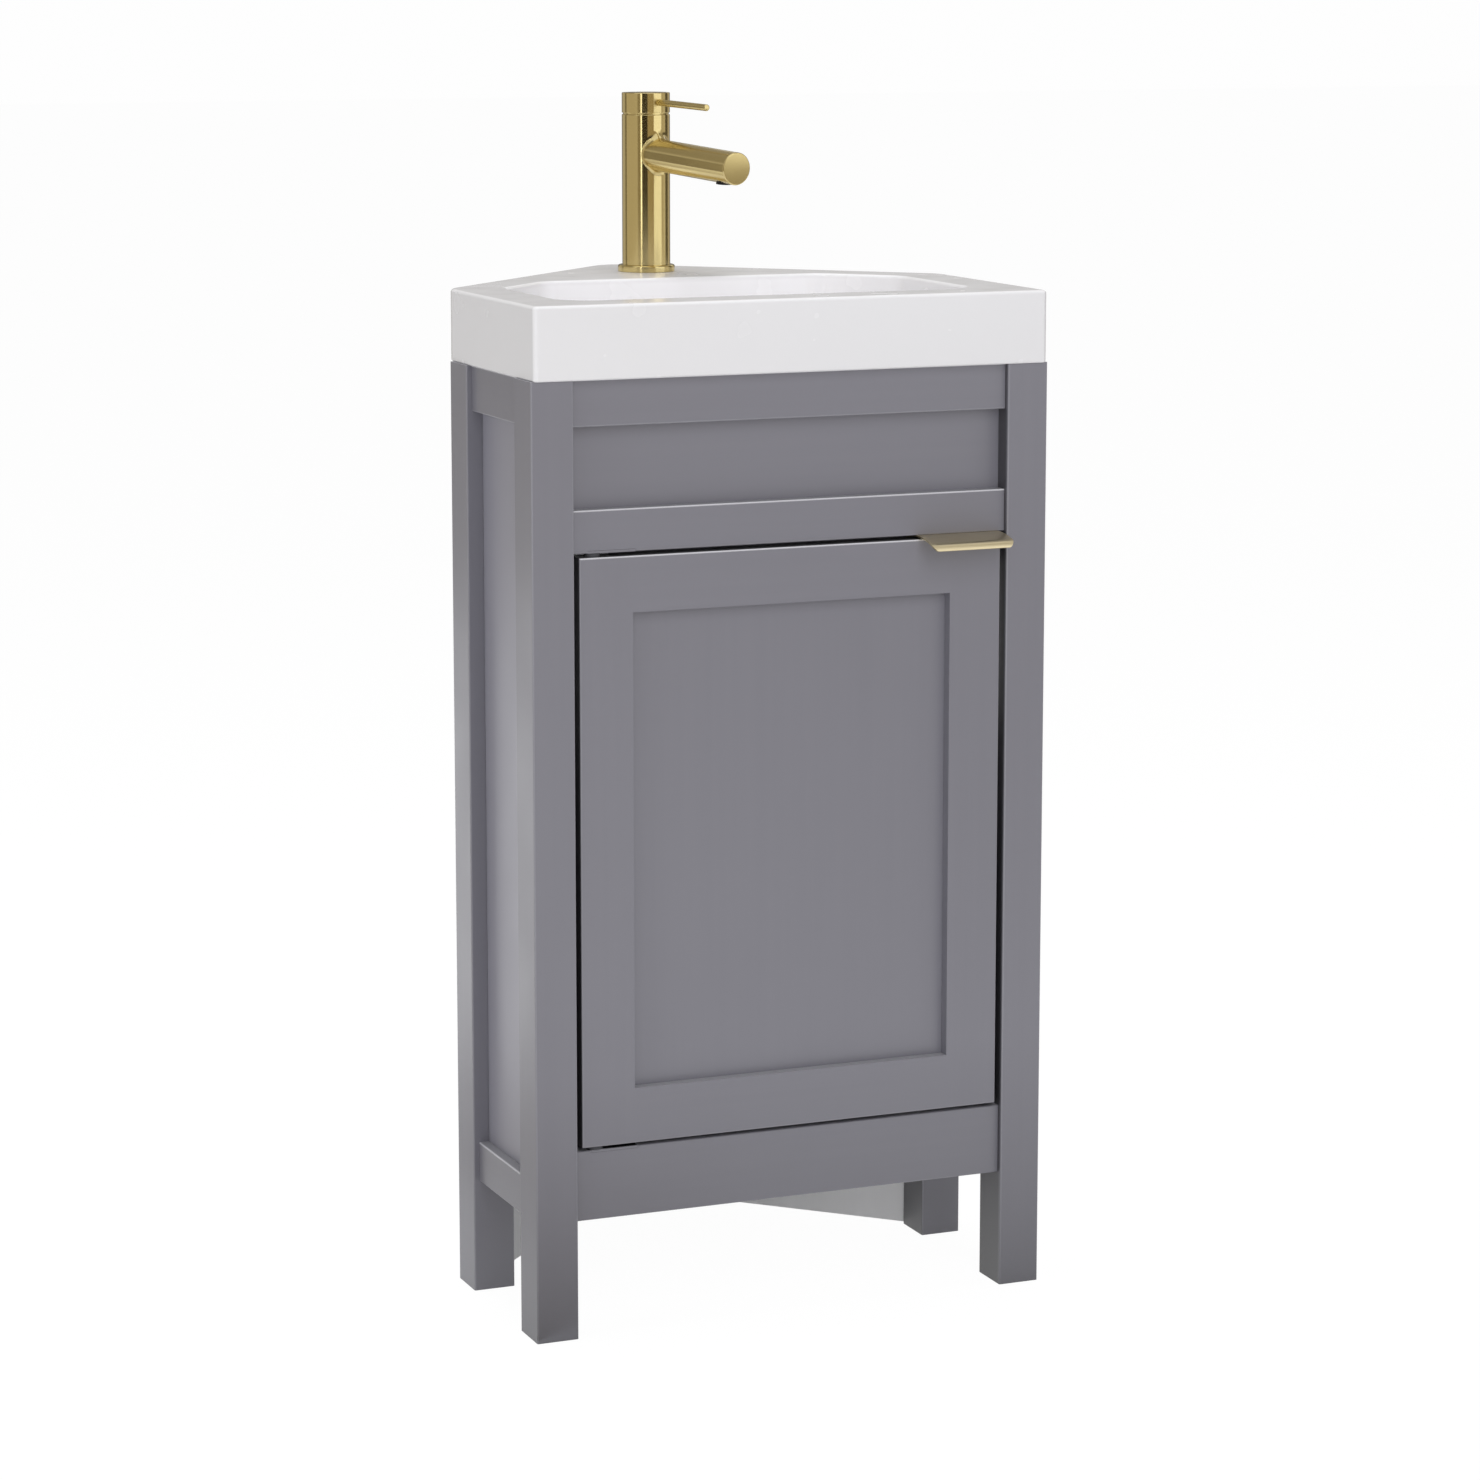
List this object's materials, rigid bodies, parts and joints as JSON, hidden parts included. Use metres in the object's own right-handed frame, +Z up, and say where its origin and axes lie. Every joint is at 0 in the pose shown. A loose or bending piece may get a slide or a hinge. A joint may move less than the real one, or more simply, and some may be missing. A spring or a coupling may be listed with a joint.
{
  "type": "corner vanity unit",
  "caption": "Framed corner vanity cabinet on legs with an inset door, a five-sided basin and a pillar mixer tap.",
  "frame": {"origin": "on the floor, in the middle of the overall width and depth (handle's lip to the basin's back corner)", "axes": "+Z up; the door faces -Y; the room's two walls meet behind the unit, on +Y"},
  "size_m": [0.456, 0.4462, 1.0055],
  "materials": {
    "painted_timber": "satin grey paint",
    "lined_board": "pale grey lined board",
    "basin_glaze": "gloss white glaze",
    "brushed_brass": "brushed",
    "steel": "zinc plated",
    "dark_steel": "black oxide",
    "nylon": "matte",
    "rubber": "matte"
  },
  "bodies": {
    "cabinet": {"front_post_left": "painted_timber", "front_post_right": "painted_timber", "rear_post_left": "painted_timber", "rear_post_right": "painted_timber", "top_rail": "painted_timber", "drawer_panel": "painted_timber", "middle_rail": "painted_timber", "bottom_rail": "painted_timber", "side_top_rail_left": "painted_timber", "side_top_rail_right": "painted_timber", "side_bottom_rail_left": "painted_timber", "side_bottom_rail_right": "painted_timber", "side_panel_left": "painted_timber", "side_panel_right": "painted_timber", "back_panel_left": "lined_board", "back_panel_right": "lined_board", "corner_batten": "lined_board", "floor_panel": "lined_board", "floor_cleats": "lined_board", "shelf": "lined_board", "shelf_cleats": "lined_board", "door_stop": "painted_timber", "door_bumpers": "rubber", "catch_magnet": "steel", "pivot_plate_upper": "dark_steel", "pivot_plate_lower": "dark_steel", "pivot_screws": "dark_steel", "basin": "basin_glaze", "waste_body": "brushed_brass", "waste_seal": "rubber", "waste_backnut": "brushed_brass", "tap_body": "brushed_brass", "tap_base_ring": "brushed_brass", "tap_aerator": "steel", "tap_bonnet": "brushed_brass", "tap_cartridge": "nylon", "tap_shank": "brushed_brass", "tap_seal": "rubber", "tap_backnut": "brushed_brass"},
    "door": {"door_stile_left": "painted_timber", "door_stile_right": "painted_timber", "door_top_rail": "painted_timber", "door_bottom_rail": "painted_timber", "door_panel": "painted_timber", "pivot_bush_upper": "nylon", "pivot_bush_lower": "nylon", "handle": "brushed_brass", "handle_screws": "brushed_brass", "catch_plate": "steel"},
    "plug": {"waste_plug": "brushed_brass", "waste_stem": "steel"},
    "lever_turn": {"tap_collar": "steel"},
    "lever": {"tap_stem": "steel", "tap_cap": "brushed_brass", "tap_pin": "brushed_brass"}
  },
  "joints": [
    {"name": "door_hinge", "type": "hinge", "parent": "cabinet", "child": "door", "pos_m": [-0.173, -0.18612, 0.4], "axis": [0, 0, -1], "range_deg": [0, 105]},
    {"name": "lever_swivel", "type": "hinge", "parent": "cabinet", "child": "lever_turn", "pos_m": [0, 0.13289, 0.9687], "axis": [0, 0, 1], "range_deg": [-45, 45]},
    {"name": "lever_lift", "type": "hinge", "parent": "lever_turn", "child": "lever", "pos_m": [0, 0.13289, 0.9687], "axis": [-0.9781, -0.2079, 0], "range_deg": [0, 20]},
    {"name": "plug_push", "type": "slide", "parent": "cabinet", "child": "plug", "axis": [0, 0, 1], "range_m": [0, 0.007]}
  ]
}
